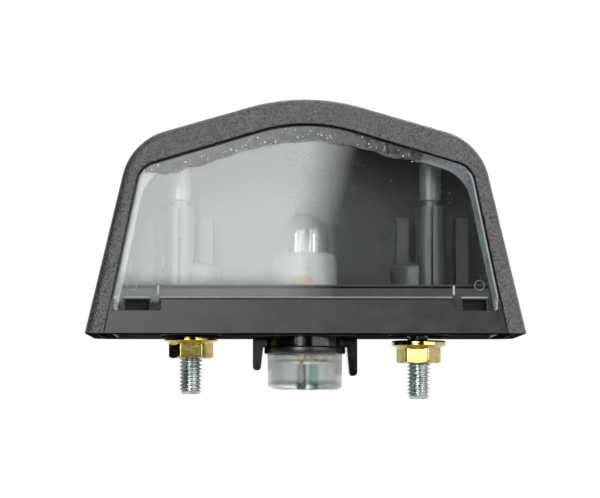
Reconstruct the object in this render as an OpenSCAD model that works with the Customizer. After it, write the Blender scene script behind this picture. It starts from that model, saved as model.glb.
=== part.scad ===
// Number plate lamp: a hooded housing with a clear window, held by two studs.
// X runs along the lamp, Y from the window to the back wall, Z up.
// The origin is the middle of the mounting face, between the two studs.

/* [Housing] */
// Width of the housing across its foot
lamp_width = 90.6; // [80:0.1:110]
// Height of the housing at its peak
lamp_height = 48.4; // [40:0.1:60]
// Depth of the housing from front to back
lamp_depth = 32; // [26:0.5:40]
// Lean of the side walls in degrees
side_lean = 13.1; // [8:0.1:18]
// Fall of the roof from its peak in degrees
roof_fall = 16.2; // [10:0.1:20]
// Radius of the rounded shoulders
shoulder_r = 12.5; // [10:0.5:18]
// Radius of the rounded peak
peak_r = 42; // [20:1:50]
// Rounding of the front edge
front_round = 2; // [1:0.1:3]
// Rounding of the back edge
back_round = 4; // [2:0.5:5]
// Thickness of the walls
wall = 2.2; // [1.5:0.1:3]

/* [Front frame and window] */
// Width of the frame beside the window at the foot
frame_side = 4; // [3:0.1:5]
// Width of the frame above the window at the peak
frame_top = 5.3; // [4:0.05:8]
// Thickness of the frame from its front to its back
frame_depth = 4.4; // [3.8:0.1:6]
// Corner radius of the window opening
opening_r = 5; // [3:0.5:7]
// Radius of the window opening at its peak
opening_peak_r = 34; // [20:1:45]
// Width of the ledge behind the window at its sides
ledge_side = 1.6; // [1:0.1:2.5]
// Width of the ledge behind the window at its top
ledge_top = 2.1; // [1.2:0.1:3]
// Corner radius inside the ledge
ledge_r = 8; // [5:0.5:10]
// Thickness of the window
lens_thick = 2.2; // [1.5:0.1:3]
// Distance of the window behind the front of the frame
lens_recess = 0.3; // [0.1:0.05:0.6]
// Gap around the window
lens_gap = 0.35; // [0.1:0.05:0.5]
// Bevel of the window's front edge
lens_bevel = 0.35; // [0.1:0.05:0.6]
// Bevel of the frame's edge round the window
frame_bevel = 0.25; // [0.1:0.05:0.5]
// Radius of the round marks in the window's lower corners
mark_r = 1; // [0.6:0.1:1.4]

/* [Base] */
// Height of the front bar under the window
bar_height = 7; // [5:0.1:9]
// Height of the step behind the window
step_height = 10; // [8:0.1:12]
// Thickness of the step behind the window
step_thick = 2; // [1.5:0.1:3]
// Thickness of the floor
floor_thick = 3.2; // [2.6:0.1:4.5]
// Depth of the hollow under the floor
floor_hollow = 1.4; // [0.8:0.1:2]
// Width of the rim round the hollow
rim_width = 3; // [2:0.1:5]
// Gap between the base and the housing
fit_gap = 0.12; // [0.05:0.01:0.3]
// Distance between a window foot and the side of the opening at the bar's top
foot_side = 0.46; // [0.4:0.02:1.5]
// Width of one prong of a window foot
prong_width = 2.4; // [1.6:0.1:3]
// Width of the slot between the two prongs
slot_width = 4.9; // [3:0.1:6]
// Height of the notch for a window foot
notch_height = 2.3; // [1.5:0.1:3]
// Gap round a window foot
foot_gap = 0.1; // [0.05:0.01:0.2]
// Wall of the step left behind the slot of a window foot
slot_back = 0.6; // [0.4:0.1:1]

/* [Posts and pegs] */
// Diameter of the boss over a stud
boss_d = 12.2; // [11:0.1:14]
// Height of the top of a boss
boss_top = 15.1; // [14.5:0.1:18]
// Rounding of the top of a boss
boss_round = 1.2; // [0.6:0.1:2]
// Diameter of a split post
post_d = 6.2; // [5.4:0.1:8]
// Height of the top of a split post
post_top = 26.9; // [22:0.1:30]
// Distance of a split post outwards from its stud
post_out = 2.3; // [1:0.1:4]
// Distance of a split post forwards from its stud
post_front = 4.4; // [3:0.1:6]
// Width of the slit in a split post
slit_width = 0.5; // [0.3:0.05:0.9]
// Diameter of a peg under the roof
peg_d = 4.66; // [4:0.02:5.2]
// Gap between a peg's shoulder and its split post
peg_gap = 1.1; // [0.6:0.1:2]
// Diameter of the pin at the end of a peg
pin_d = 3.2; // [2.6:0.1:3.6]
// Depth of the pin in its split post
pin_depth = 7; // [5:0.5:9]
// Radial gap round the pin
pin_gap = 0.05; // [0.02:0.01:0.1]
// Height of the top of the upright ribs
rib_top = 25.4; // [20:0.1:28]
// Width of the rib on a boss
inner_rib = 2.5; // [1.8:0.1:3.5]
// Width of the rib beside a side wall
outer_rib = 2.6; // [1.8:0.1:3.5]
// Gap between the outer rib's top and the side wall
outer_rib_gap = 2.2; // [1.4:0.1:3]
// How far an upright rib reaches forwards into the boss
rib_reach = 1.4; // [0.6:0.1:3]

/* [Studs and nuts] */
// Distance between the two studs
stud_spacing = 48; // [40:0.5:56]
// Diameter of a stud over its thread
stud_d = 4.84; // [4:0.02:6]
// Length of a stud under the mounting face
stud_out = 12.2; // [9:0.1:18]
// Chamfer at the tip of a stud
stud_tip = 0.7; // [0.4:0.1:1]
// Height of a stud's head above the mounting face
head_seat = 9.6; // [8:0.1:10.4]
// Width across the flats of a stud's head
head_flats = 8; // [7:0.1:9]
// Thickness of a stud's head
head_thick = 3.3; // [2.5:0.1:3.8]
// How much lower the right stud and nut sit
right_drop = 1; // [0:0.1:1.5]
// Diameter of the pad round a stud
pad_d = 12.7; // [12:0.1:15]
// Width across the flats of a nut
nut_flats = 8.2; // [7:0.1:10]
// Height of a nut
nut_high = 4.7; // [4:0.1:6]
// Diameter of a nut's flange
flange_d = 11.4; // [10.5:0.1:12.5]
// Thickness of the flange at its edge
flange_edge = 1; // [0.6:0.1:1.3]
// Height of the flange with its cone
flange_high = 1.9; // [1.5:0.1:2.6]
// How far inside the stud's outside the two threads meet in a nut
thread_reach = 0.18; // [0.1:0.01:0.3]
// Radial gap between a nut and its stud
thread_gap = 0.04; // [0.02:0.01:0.1]
// Turn of the left nut in degrees
left_nut_turn = 1.6; // [-30:0.1:30]
// Turn of the right nut in degrees
right_nut_turn = -7; // [-30:0.1:30]

/* [Collar and legs] */
// Diameter of the collar and of the sealing ring
collar_d = 17.1; // [16.4:0.1:19]
// Length of the collar under the mounting face
collar_out = 2.3; // [1.5:0.1:3.5]
// Thickness of the sealing ring
seal_thick = 1.5; // [1:0.1:2.2]
// Distance of a leg's outer face from the middle
leg_out = 10.95; // [10.3:0.05:12]
// Width of a leg at the collar's lower edge
leg_root = 2.2; // [1.8:0.1:2.3]
// Width of a leg at its tip
leg_tip = 1.7; // [1.2:0.1:2.2]
// Size of a leg from front to back
leg_deep = 6; // [4:0.5:8]
// Length of the left leg under the mounting face
left_leg = 7.1; // [5:0.1:10]
// Length of the right leg under the mounting face
right_leg = 8.3; // [5:0.1:10]

/* [Lamp holder] */
// Diameter of the holder's cup
cup_d = 15.8; // [15:0.1:16.3]
// Diameter of the holder's neck
neck_d = 13.8; // [13:0.1:14.2]
// Diameter of the holder at its top, under the rounding
neck_top_d = 13.5; // [12.4:0.1:13.6]
// Depth of the cup under the mounting face
cup_out = 11.3; // [9:0.1:14]
// Height of the holder's top
holder_top = 17.35; // [15.4:0.05:19]
// Rounding of the holder's top
holder_round = 2.3; // [1:0.1:2.4]
// Rounding of the cup's lower edge
cup_round = 1.2; // [0.6:0.1:1.6]
// Wall and floor thickness of the cup
cup_wall = 1.2; // [0.9:0.1:1.8]
// Gap between the holder's neck and the collar
neck_gap = 0.1; // [0.05:0.01:0.2]
// Thickness of the web under the bulb
web_thick = 1.6; // [1.2:0.1:2.2]

/* [Bulb] */
// Diameter of the bulb's glass
bulb_d = 10.3; // [9.5:0.1:10.5]
// Full length of the bulb
bulb_length = 26.8; // [24:0.1:28]
// Height of the bulb's top
bulb_top = 26.2; // [24:0.1:28]
// Thickness of the glass
glass_thick = 0.6; // [0.4:0.05:0.8]
// Height of the glass dome
dome_high = 5.6; // [4:0.1:7]
// Length of the flat foot of the bulb
wedge_length = 13.2; // [11:0.1:14]
// Width of the flat foot
wedge_width = 9.4; // [8.4:0.1:9.8]
// Thickness of the flat foot
wedge_thick = 2.4; // [2:0.1:3]
// Length of the cone between the foot and the round glass
cone_length = 2.6; // [1.8:0.1:3.5]
// Gap round the bulb in its holder
bulb_gap = 0.3; // [0.15:0.05:0.4]
// Diameter of the wires in the bulb
wire_d = 0.45; // [0.3:0.05:0.6]
// Distance of each wire from the middle
wire_out = 1.9; // [1.4:0.1:2.4]
// Height of the filament
filament_z = 21.1; // [19:0.1:23]
// Diameter of the filament coil
filament_d = 0.36; // [0.2:0.02:0.4]
// Length of the wire tails that lie on the foot
tail_length = 9; // [6:0.1:10]

/* [Terminals and leads] */
// Width of a terminal
term_width = 3.7; // [3:0.1:4.4]
// Thickness of a terminal
term_thick = 0.5; // [0.3:0.05:0.7]
// Sideways shift of a terminal's middle
term_shift = 0.6; // [0.2:0.1:0.9]
// Gap round a terminal in the web
term_gap = 0.05; // [0.02:0.01:0.1]
// Length of a terminal's barrel
barrel_length = 2; // [1.5:0.1:3]
// Wall thickness of the barrel
barrel_wall = 0.4; // [0.25:0.05:0.5]
// Gap between the web and the barrel
barrel_gap = 1; // [0.6:0.1:1.6]
// Diameter of a lead over its covering
lead_d = 1.9; // [1.6:0.1:2.2]
// Diameter of a lead's bare strands
core_d = 1; // [0.7:0.05:1.1]
// Length of bare strands between the barrel and the covering
core_bare = 0.8; // [0.4:0.1:1.5]
// Sideways place of the grey lead
grey_x = -0.75; // [-1.2:0.05:-0.3]
// Sideways place of the green lead
green_x = 1.95; // [1.4:0.05:2]
// Gap round a lead in the cup's floor
lead_gap = 0.05; // [0.02:0.01:0.15]

/* [Hidden] */
$fn = 64;
arc_steps = 12;
round_steps = 6;

front_y = -lamp_depth / 2;
back_y = lamp_depth / 2;
pocket_y = front_y + lens_recess + lens_thick;
frame_y = front_y + frame_depth;
stud_x = stud_spacing / 2;
meet_d = stud_d - 2 * thread_reach;

opening_lean = side_lean - 1.5;
opening_fall = roof_fall + 0.5;
opening_half = lamp_width / 2 - frame_side;
opening_high = lamp_height - frame_top;
step_half = opening_half - ledge_side / cos(opening_lean);
foot_wide = 2 * prong_width + slot_width;
foot_start = opening_half - bar_height * tan(opening_lean) - foot_side - foot_wide;
floor_half = lamp_width / 2 - wall / cos(side_lean) - fit_gap;
inner_back_y = back_y - wall;

post_x = stud_x + post_out;
post_y = -post_front;
pin_low = post_top - pin_depth;
peg_low = post_top + peg_gap;
roof_line = (lamp_height - peak_r) * cos(roof_fall) + peak_r;
peg_high = (roof_line - wall - (post_x - peg_d / 2) * sin(roof_fall)) / cos(roof_fall) + 0.2;
outer_rib_x = lamp_width / 2 - rib_top * tan(side_lean) - wall / cos(side_lean) - outer_rib_gap;

neck_r = neck_d / 2;
seal_low = -collar_out - seal_thick;
cup_r = cup_d / 2;
bulb_r = bulb_d / 2;
bulb_low = bulb_top - bulb_length;
wedge_top = bulb_low + wedge_length;
round_low = wedge_top + cone_length;
web_low = bulb_low - web_thick;
tail_y = wedge_thick / 2 + wire_d / 2;
slot_half = wedge_thick / 2 + wire_d + term_thick;
tail_low = bulb_low + 1.2;
barrel_r = core_d / 2 + barrel_wall;
barrel_high = web_low - barrel_gap;
barrel_low = barrel_high - barrel_length;
lead_y = slot_half + barrel_r - term_thick / 2;
lead_high = barrel_low - core_bare;

// Shell and trim colours
black = [0.05, 0.05, 0.055];
dark = [0.07, 0.07, 0.075];
clear = [0.85, 0.9, 0.92, 0.35];
zinc = [0.75, 0.77, 0.78];
gold = [0.8, 0.68, 0.3];
milk = [0.93, 0.94, 0.92, 0.6];
brass = [0.75, 0.55, 0.25];

// Arch seen from the front: straight leaning sides, rounded shoulders, a rounded peak.
// half is the half width at height 0, inset moves the whole line inwards.
function arch_side(half, lean, high, fall, rs, rp, inset, foot) =
    let (
        p1 = half * cos(lean) - rs,
        p2 = (high - rp) * cos(fall) + rp - rs,
        k = cos(lean + fall),
        cx = (p1 * cos(fall) - sin(lean) * p2) / k,
        cz = (cos(lean) * p2 - sin(fall) * p1) / k
    )
    concat(
        [[half - inset / cos(lean) - foot * tan(lean), foot]],
        [for (i = [0:arc_steps])
            let (t = lean + (90 - fall - lean) * i / arc_steps)
            [cx + (rs - inset) * cos(t), cz + (rs - inset) * sin(t)]],
        [for (i = [0:arc_steps / 2])
            let (t = 90 - fall + fall * i / (arc_steps / 2))
            [(rp - inset) * cos(t), high - rp + (rp - inset) * sin(t)]]
    );

function arch(half, lean, high, fall, rs, rp, inset, foot) =
    let (
        side = arch_side(half, lean, high, fall, rs, rp, inset, foot),
        n = len(side)
    )
    concat(side, [for (i = [1:n - 1]) [-side[n - 1 - i][0], side[n - 1 - i][1]]]);

function shell_arch(inset, foot) =
    arch(lamp_width / 2, side_lean, lamp_height, roof_fall, shoulder_r, peak_r, inset, foot);

function opening_arch(inset, foot) =
    arch(opening_half, opening_lean, opening_high, opening_fall, opening_r, opening_peak_r, inset, foot);

function ledge_arch(foot) =
    arch(step_half, opening_lean, opening_high - ledge_top, opening_fall, ledge_r, opening_peak_r, 0, foot);

// Sections of the shell from front to back as pairs of place and inset
front_rows = [for (i = [0:round_steps])
    let (t = 90 * i / round_steps)
    [front_y + front_round * (1 - cos(t)), front_round * (1 - sin(t))]];
back_rows = [for (i = [0:round_steps])
    let (t = 90 * i / round_steps)
    [back_y - back_round * (1 - sin(t)), back_round * (1 - cos(t))]];
shell_rows = concat(front_rows, back_rows);

// Prism along Y from a front view
module prism(points, y0, y1) {
    translate([0, y1, 0])
        rotate([90, 0, 0])
            linear_extrude(height = y1 - y0)
                polygon(points);
}

// Solid through front views that follow each other along Y, each a pair of place and points
module loft(views) {
    rows = len(views);
    n = len(views[0][1]);
    points = [for (view = views, p = view[1]) [p[0], view[0], p[1]]];
    sides = [for (r = [0:rows - 2], i = [0:n - 1])
        [r * n + i, r * n + (i + 1) % n, (r + 1) * n + (i + 1) % n, (r + 1) * n + i]];
    front_cap = [[for (i = [0:n - 1]) n - 1 - i]];
    back_cap = [[for (i = [0:n - 1]) (rows - 1) * n + i]];
    polyhedron(points = points, faces = concat(sides, front_cap, back_cap), convexity = 4);
}

module peg(side) {
    translate([side * post_x, post_y, peg_low])
        cylinder(h = peg_high - peg_low, d = peg_d);
    translate([side * post_x, post_y, pin_low])
        cylinder(h = peg_low - pin_low + 0.5, d = pin_d);
}

module hood() {
    color(black)
    union() {
        difference() {
            loft([for (row = shell_rows) [row[0], shell_arch(row[1], 0)]]);
            prism(shell_arch(wall, -1), frame_y, inner_back_y);
            prism(opening_arch(0, -1), front_y - 1, pocket_y);
            loft([[front_y - frame_bevel, opening_arch(-2 * frame_bevel, -1)],
                [front_y + frame_bevel, opening_arch(0, -1)]]);
            prism(ledge_arch(-1), pocket_y - 0.5, frame_y + 0.5);
        }
        peg(-1);
        peg(1);
    }
}

// Leaning block between two heights, seen from the front
function block(half, lean, low, high) =
    [[-(half - low * tan(lean)), low], [half - low * tan(lean), low],
     [half - high * tan(lean), high], [-(half - high * tan(lean)), high]];

module floor_plate() {
    difference() {
        prism(block(floor_half, side_lean, 0, floor_thick), frame_y + fit_gap, inner_back_y - fit_gap);
        prism(block(floor_half - rim_width, side_lean, -1, floor_hollow),
            frame_y + fit_gap + rim_width, inner_back_y - fit_gap - rim_width);
    }
}

module front_bar() {
    inner_half = step_half - fit_gap;
    prism(block(opening_half - fit_gap, opening_lean, 0, bar_height), front_y, pocket_y);
    prism(block(inner_half, opening_lean, 0, bar_height), pocket_y - 0.4, pocket_y + step_thick);
    prism(block(inner_half, opening_lean, 0, step_height), pocket_y, pocket_y + step_thick);
    prism(block(inner_half, opening_lean, 0, floor_thick), pocket_y, frame_y + fit_gap + rim_width);
}

module boss(side) {
    translate([side * stud_x, 0, 0]) {
        translate([0, 0, floor_thick - 1])
            cylinder(h = boss_top - boss_round - floor_thick + 1, d = boss_d);
        translate([0, 0, boss_top - boss_round])
            rotate_extrude()
                polygon(concat([[0, 0]], [for (i = [0:round_steps])
                    let (t = 90 * i / round_steps)
                    [boss_d / 2 - boss_round + boss_round * cos(t), boss_round * sin(t)]],
                    [[0, boss_round]]));
        cylinder(h = floor_thick, d = pad_d);
    }
}

module split_post(side) {
    translate([side * post_x, post_y, floor_thick - 1])
        cylinder(h = post_top - floor_thick + 1, d = post_d);
}

module post_cuts(side) {
    translate([side * post_x, post_y, pin_low])
        cylinder(h = post_top - pin_low + 1, d = pin_d + 2 * pin_gap);
    translate([side * post_x - slit_width / 2, post_y - post_d / 2 - 1, floor_thick + 1])
        cube([slit_width, post_d / 2 + 1, post_top - floor_thick]);
}

module ribs(side) {
    rib_front = boss_d / 2 - rib_reach;
    rib_length = inner_back_y - fit_gap - rib_front;
    inner_x = stud_x - inner_rib / 2 - (boss_d / 2 - inner_rib) / 2;
    translate([side * inner_x - inner_rib / 2, rib_front, floor_thick - 1])
        cube([inner_rib, rib_length, rib_top - floor_thick + 1]);
    translate([side * (outer_rib_x - outer_rib / 2) - outer_rib / 2, rib_front, floor_thick - 1])
        cube([outer_rib, rib_length, rib_top - floor_thick + 1]);
}

// Leg seen from the front, outer face upright, inner face leaning
module leg(side, long) {
    top = floor_hollow + 0.4;
    r = 0.6;
    points = concat(
        [[leg_out, top], [collar_d / 2 - 1, top], [collar_d / 2 - 1, -collar_out],
         [leg_out - leg_root, -collar_out]],
        [for (i = [0:round_steps])
            let (t = 180 + 90 * i / round_steps)
            [leg_out - leg_tip + r + r * cos(t), -long + r + r * sin(t)]],
        [for (i = [0:round_steps])
            let (t = 270 + 90 * i / round_steps)
            [leg_out - r + r * cos(t), -long + r + r * sin(t)]]);
    prism([for (p = points) [side * p[0], p[1]]], -leg_deep / 2, leg_deep / 2);
}

// Pocket for a window foot, with a blind slot into the step between its prongs
module notch(side) {
    wide = foot_wide + 2 * foot_gap;
    low = bar_height - notch_height - foot_gap;
    start = side > 0 ? foot_start - foot_gap : -foot_start + foot_gap - wide;
    middle = side * (foot_start + prong_width + slot_width / 2);
    slot_depth = pocket_y - front_y + step_thick - slot_back;
    translate([start, front_y - 1, low])
        cube([wide, pocket_y - front_y + 1, notch_height + foot_gap + 1]);
    translate([middle - slot_width / 2, front_y, low])
        cube([slot_width, slot_depth, notch_height]);
}

module base() {
    color(dark)
    difference() {
        union() {
            floor_plate();
            front_bar();
            boss(-1);
            boss(1);
            split_post(-1);
            split_post(1);
            ribs(-1);
            ribs(1);
            translate([0, 0, -collar_out])
                cylinder(h = collar_out + floor_thick, d = collar_d);
            leg(-1, left_leg);
            leg(1, right_leg);
        }
        translate([0, 0, -collar_out - 1])
            cylinder(h = collar_out + floor_thick + 2, d = neck_d + 2 * neck_gap);
        post_cuts(-1);
        post_cuts(1);
        notch(-1);
        notch(1);
        stud(-1, 0);
        stud(1, right_drop);
    }
}

module lens() {
    mark_x = opening_half - step_height * tan(opening_lean) - ledge_side - 2.1;
    lens_y = front_y + lens_recess;
    foot_z = bar_height + foot_gap;
    color(clear)
    difference() {
        union() {
            loft([[lens_y, opening_arch(lens_gap + lens_bevel, foot_z + lens_bevel)],
                [lens_y + lens_bevel, opening_arch(lens_gap, foot_z)],
                [pocket_y, opening_arch(lens_gap, foot_z)]]);
            for (side = [-1, 1], k = [0, 1]) {
                x = side * (foot_start + prong_width / 2 + k * (prong_width + slot_width));
                translate([x - prong_width / 2, lens_y, bar_height - notch_height])
                    cube([prong_width, lens_thick, notch_height + 1]);
            }
        }
        for (side = [-1, 1])
            translate([side * mark_x, lens_y + 0.15, step_height - 0.2])
                rotate([90, 0, 0])
                    cylinder(h = 1, r = mark_r);
    }
}

// Bolt with a six-sided head, point down. The thread under the nut has its outside diameter.
// In the nut and the base it has the diameter where it meets theirs.
module stud(side, drop) {
    translate([side * stud_x, 0, -drop]) {
        translate([0, 0, -nut_high - 0.5])
            cylinder(h = nut_high + head_seat + 1, d = meet_d);
        translate([0, 0, -stud_out + stud_tip])
            cylinder(h = stud_out - stud_tip - nut_high, d = stud_d);
        translate([0, 0, -stud_out])
            cylinder(h = stud_tip, d1 = stud_d - 2 * stud_tip, d2 = stud_d);
        translate([0, 0, head_seat])
            cylinder(h = head_thick, d = head_flats / cos(30), $fn = 6);
    }
}

module stud_left() {
    color(zinc)
    stud(-1, 0);
}

module stud_right() {
    color(zinc)
    stud(1, right_drop);
}

// Flange nut hanging from height 0
module nut(turn) {
    corner = nut_flats / cos(30) / 2;
    difference() {
        union() {
            intersection() {
                rotate([0, 0, turn])
                    translate([0, 0, -nut_high])
                        cylinder(h = nut_high, r = corner, $fn = 6);
                translate([0, 0, -nut_high])
                    cylinder(h = nut_high, r1 = nut_flats / 2 + 0.1, r2 = nut_flats / 2 + 0.1 + nut_high * 1.6);
            }
            rotate_extrude()
                polygon([[0, 0], [flange_d / 2, 0], [flange_d / 2, -flange_edge],
                    [nut_flats / 2, -flange_high], [0, -flange_high]]);
        }
        translate([0, 0, -nut_high - 1])
            cylinder(h = nut_high + 2, d = meet_d + 2 * thread_gap);
        translate([0, 0, -nut_high - 0.01])
            cylinder(h = 0.5, d1 = stud_d + 0.6, d2 = meet_d);
    }
}

module nut_left() {
    color(gold)
    translate([-stud_x, 0, 0])
        nut(left_nut_turn);
}

module nut_right() {
    color(gold)
    translate([stud_x, 0, -right_drop])
        nut(right_nut_turn);
}

module holder_seal() {
    color([0.03, 0.03, 0.03])
    translate([0, 0, seal_low])
        difference() {
            cylinder(h = seal_thick, d = collar_d);
            translate([0, 0, -1])
                cylinder(h = seal_thick + 2, d = neck_d);
        }
}

module bulb_holder() {
    color(milk)
    difference() {
        rotate_extrude()
            polygon(concat(
                [[0, -cup_out]],
                [for (i = [0:round_steps])
                    let (t = 270 + 90 * i / round_steps)
                    [cup_r - 0.1 - cup_round + cup_round * cos(t), -cup_out + cup_round + cup_round * sin(t)]],
                [[cup_r, seal_low], [neck_r, seal_low], [neck_r, floor_thick]],
                [for (i = [0:round_steps])
                    let (t = 90 * i / round_steps)
                    [neck_top_d / 2 - holder_round / 2 + holder_round / 2 * cos(t),
                     holder_top - holder_round + holder_round * sin(t)]],
                [[0, holder_top]]));
        translate([0, 0, wedge_top])
            cylinder(h = holder_top, d = bulb_d + 2 * bulb_gap);
        translate([-wedge_width / 2 - bulb_gap, -slot_half, bulb_low])
            cube([wedge_width + 2 * bulb_gap, 2 * slot_half, wedge_top - bulb_low + 1]);
        rotate_extrude()
            polygon([[0, -cup_out + cup_wall], [cup_r - cup_wall, -cup_out + cup_wall],
                [cup_r - cup_wall, seal_low - cup_wall - 0.6], [neck_r - cup_wall, seal_low - cup_wall],
                [neck_r - cup_wall, web_low], [0, web_low]]);
        term_passage(1);
        term_passage(-1);
        translate([grey_x, -lead_y, -cup_out - 1])
            cylinder(h = cup_wall + 2, d = lead_d + 2 * lead_gap);
        translate([green_x, lead_y, -cup_out - 1])
            cylinder(h = cup_wall + 2, d = lead_d + 2 * lead_gap);
    }
}

// Way through the web for one terminal
module term_passage(side) {
    middle = -side * term_shift;
    low_y = side > 0 ? -slot_half : slot_half - term_thick - term_gap;
    translate([middle - term_width / 2 - term_gap, low_y, web_low - 1])
        cube([term_width + 2 * term_gap, term_thick + term_gap, web_thick + 1.5]);
}

module bulb_glass() {
    color(clear)
    difference() {
        union() {
            rotate_extrude()
                polygon(concat(
                    [[0, wedge_top], [wedge_thick / 2, wedge_top], [bulb_r, round_low]],
                    [for (i = [0:2 * round_steps])
                        let (t = 90 * i / (2 * round_steps))
                        [bulb_r * cos(t), bulb_top - dome_high + dome_high * sin(t)]]));
            translate([-wedge_width / 2, -wedge_thick / 2, bulb_low])
                cube([wedge_width, wedge_thick, wedge_length + cone_length / 4]);
        }
        rotate_extrude()
            polygon(concat(
                [[0, round_low - 0.4], [bulb_r - glass_thick - 1.2, round_low - 0.4],
                 [bulb_r - glass_thick, round_low + 0.8]],
                [for (i = [0:2 * round_steps])
                    let (t = 90 * i / (2 * round_steps))
                    [(bulb_r - glass_thick) * cos(t),
                     bulb_top - dome_high + (dome_high - glass_thick) * sin(t)]]));
        bulb_wire(-1);
        bulb_wire(1);
    }
}

// Wire from the filament down through the glass foot and up again on its face
module bulb_wire(side) {
    x = side * wire_out;
    translate([x, 0, tail_low])
        cylinder(h = filament_z + wire_d - tail_low, d = wire_d);
    translate([x, 0, tail_low])
        sphere(d = wire_d);
    translate([x, 0, tail_low])
        rotate([side < 0 ? 90 : -90, 0, 0])
            cylinder(h = tail_y, d = wire_d);
    translate([x, side * tail_y, tail_low])
        sphere(d = wire_d);
    translate([x, side * tail_y, tail_low])
        cylinder(h = tail_length, d = wire_d);
}

module filament_rod() {
    translate([-wire_out, 0, filament_z])
        rotate([0, 90, 0])
            cylinder(h = 2 * wire_out, d = filament_d);
}

module bulb_filament() {
    color([0.45, 0.45, 0.47])
    filament_rod();
}

module bulb_wire_left() {
    color(zinc)
    difference() {
        bulb_wire(-1);
        filament_rod();
    }
}

module bulb_wire_right() {
    color(zinc)
    difference() {
        bulb_wire(1);
        filament_rod();
    }
}

// Flat terminal on one face of the bulb's foot with a barrel for its lead
module terminal(side, lead_x) {
    middle = -side * term_shift;
    low_y = side > 0 ? -slot_half : slot_half - term_thick;
    difference() {
        union() {
            translate([middle - term_width / 2, low_y, web_low])
                cube([term_width, term_thick, wedge_top - web_low - 0.2]);
            translate([middle - term_width / 2, low_y, barrel_high - 0.4])
                cube([term_width, term_thick, web_low - barrel_high + 1]);
            translate([lead_x, -side * lead_y, barrel_low])
                cylinder(h = barrel_length, r = barrel_r);
            translate([lead_x - barrel_r / 2, low_y, barrel_low])
                cube([barrel_r, term_thick, barrel_length]);
        }
        translate([lead_x, -side * lead_y, barrel_low - 1])
            cylinder(h = barrel_length + 2, d = core_d);
    }
}

module terminal_grey() {
    color(brass)
    terminal(1, grey_x);
}

module terminal_green() {
    color(brass)
    terminal(-1, green_x);
}

module lead_cover(x, y) {
    translate([x, y, -cup_out])
        difference() {
            cylinder(h = lead_high + cup_out, d = lead_d);
            translate([0, 0, -1])
                cylinder(h = lead_high + cup_out + 2, d = core_d);
        }
}

module lead_core(x, y) {
    translate([x, y, -cup_out])
        cylinder(h = barrel_high + cup_out, d = core_d);
}

module lead_grey() {
    color([0.35, 0.36, 0.38])
    lead_cover(grey_x, -lead_y);
}

module lead_green() {
    color([0.2, 0.6, 0.5])
    lead_cover(green_x, lead_y);
}

module core_grey() {
    color([0.72, 0.4, 0.2])
    lead_core(grey_x, -lead_y);
}

module core_green() {
    color([0.72, 0.4, 0.2])
    lead_core(green_x, lead_y);
}

hood();
base();
lens();
stud_left();
stud_right();
nut_left();
nut_right();
holder_seal();
bulb_holder();
bulb_glass();
bulb_filament();
bulb_wire_left();
bulb_wire_right();
terminal_grey();
terminal_green();
lead_grey();
lead_green();
core_grey();
core_green();
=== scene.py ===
"""Number plate lamp: grained housing, clear window, wedge bulb in a milky holder, two threaded studs.

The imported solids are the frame. Pieces that need finer form than the solids are worked out here with
numpy, in metres, from the same driving sizes. Other nodes keep their solids and get a material.
"""

import math

import bmesh
import bpy
import numpy as np
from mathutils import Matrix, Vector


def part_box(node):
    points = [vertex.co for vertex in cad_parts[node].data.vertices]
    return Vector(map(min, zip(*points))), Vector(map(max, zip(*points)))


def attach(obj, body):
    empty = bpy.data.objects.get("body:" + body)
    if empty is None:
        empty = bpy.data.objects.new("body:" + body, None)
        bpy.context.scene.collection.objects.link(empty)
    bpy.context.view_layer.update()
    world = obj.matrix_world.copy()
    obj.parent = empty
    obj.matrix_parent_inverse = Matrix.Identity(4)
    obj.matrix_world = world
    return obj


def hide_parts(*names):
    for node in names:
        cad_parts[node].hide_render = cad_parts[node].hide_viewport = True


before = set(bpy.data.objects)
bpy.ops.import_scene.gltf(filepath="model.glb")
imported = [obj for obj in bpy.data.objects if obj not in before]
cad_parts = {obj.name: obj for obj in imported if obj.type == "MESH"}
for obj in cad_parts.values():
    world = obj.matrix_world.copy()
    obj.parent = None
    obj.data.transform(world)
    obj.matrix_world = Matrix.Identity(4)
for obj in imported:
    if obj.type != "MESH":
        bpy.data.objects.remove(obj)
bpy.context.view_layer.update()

MM = 0.001

# Driving sizes in millimetres, as in the part's source
SIDE_LEAN, ROOF_FALL = math.radians(13.1), math.radians(16.2)
SHOULDER_R, PEAK_R = 12.5, 42.0
FRONT_ROUND, BACK_ROUND = 2.0, 4.0
WALL = 2.2
FRAME_SIDE, FRAME_TOP, FRAME_DEPTH = 4.0, 5.3, 4.4
OPENING_R, OPENING_PEAK_R = 5.0, 34.0
LEDGE_SIDE, LEDGE_TOP, LEDGE_R = 1.6, 2.1, 8.0
LENS_THICK, LENS_RECESS, LENS_GAP, LENS_BEVEL, FRAME_BEVEL = 2.2, 0.3, 0.35, 0.35, 0.25
BAR_HEIGHT, STEP_HEIGHT, FOOT_GAP, NOTCH_HEIGHT = 7.0, 10.0, 0.1, 2.3
FOOT_SIDE, PRONG_WIDTH, SLOT_WIDTH = 0.46, 2.4, 4.9
PEG_D, PIN_D, PEG_LOW, PIN_LOW = 4.66, 3.2, 28.0, 19.9
POST_X, POST_Y = 26.3, -4.4
STUD_X, STUD_D, STUD_PITCH, STUD_OUT, STUD_TIP = 24.0, 4.84, 0.8, 12.2, 0.7
HEAD_SEAT, HEAD_FLATS, HEAD_THICK = 9.6, 8.0, 3.3
RIGHT_DROP = 1.0
NUT_FLATS, NUT_HIGH, FLANGE_D, FLANGE_EDGE, FLANGE_HIGH = 8.2, 4.7, 11.4, 1.0, 1.9
LEFT_NUT_TURN, RIGHT_NUT_TURN = 1.6, -7.0
BULB_D, BULB_TOP, BULB_LOW, GLASS_THICK, DOME_HIGH = 10.3, 26.2, -0.6, 0.6, 5.6
WEDGE_TOP, WEDGE_WIDTH, WEDGE_THICK, CONE_LENGTH = 12.6, 9.4, 2.4, 2.6
WIRE_OUT, FILAMENT_Z = 1.9, 21.1
CORE_D = 1.0

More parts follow.
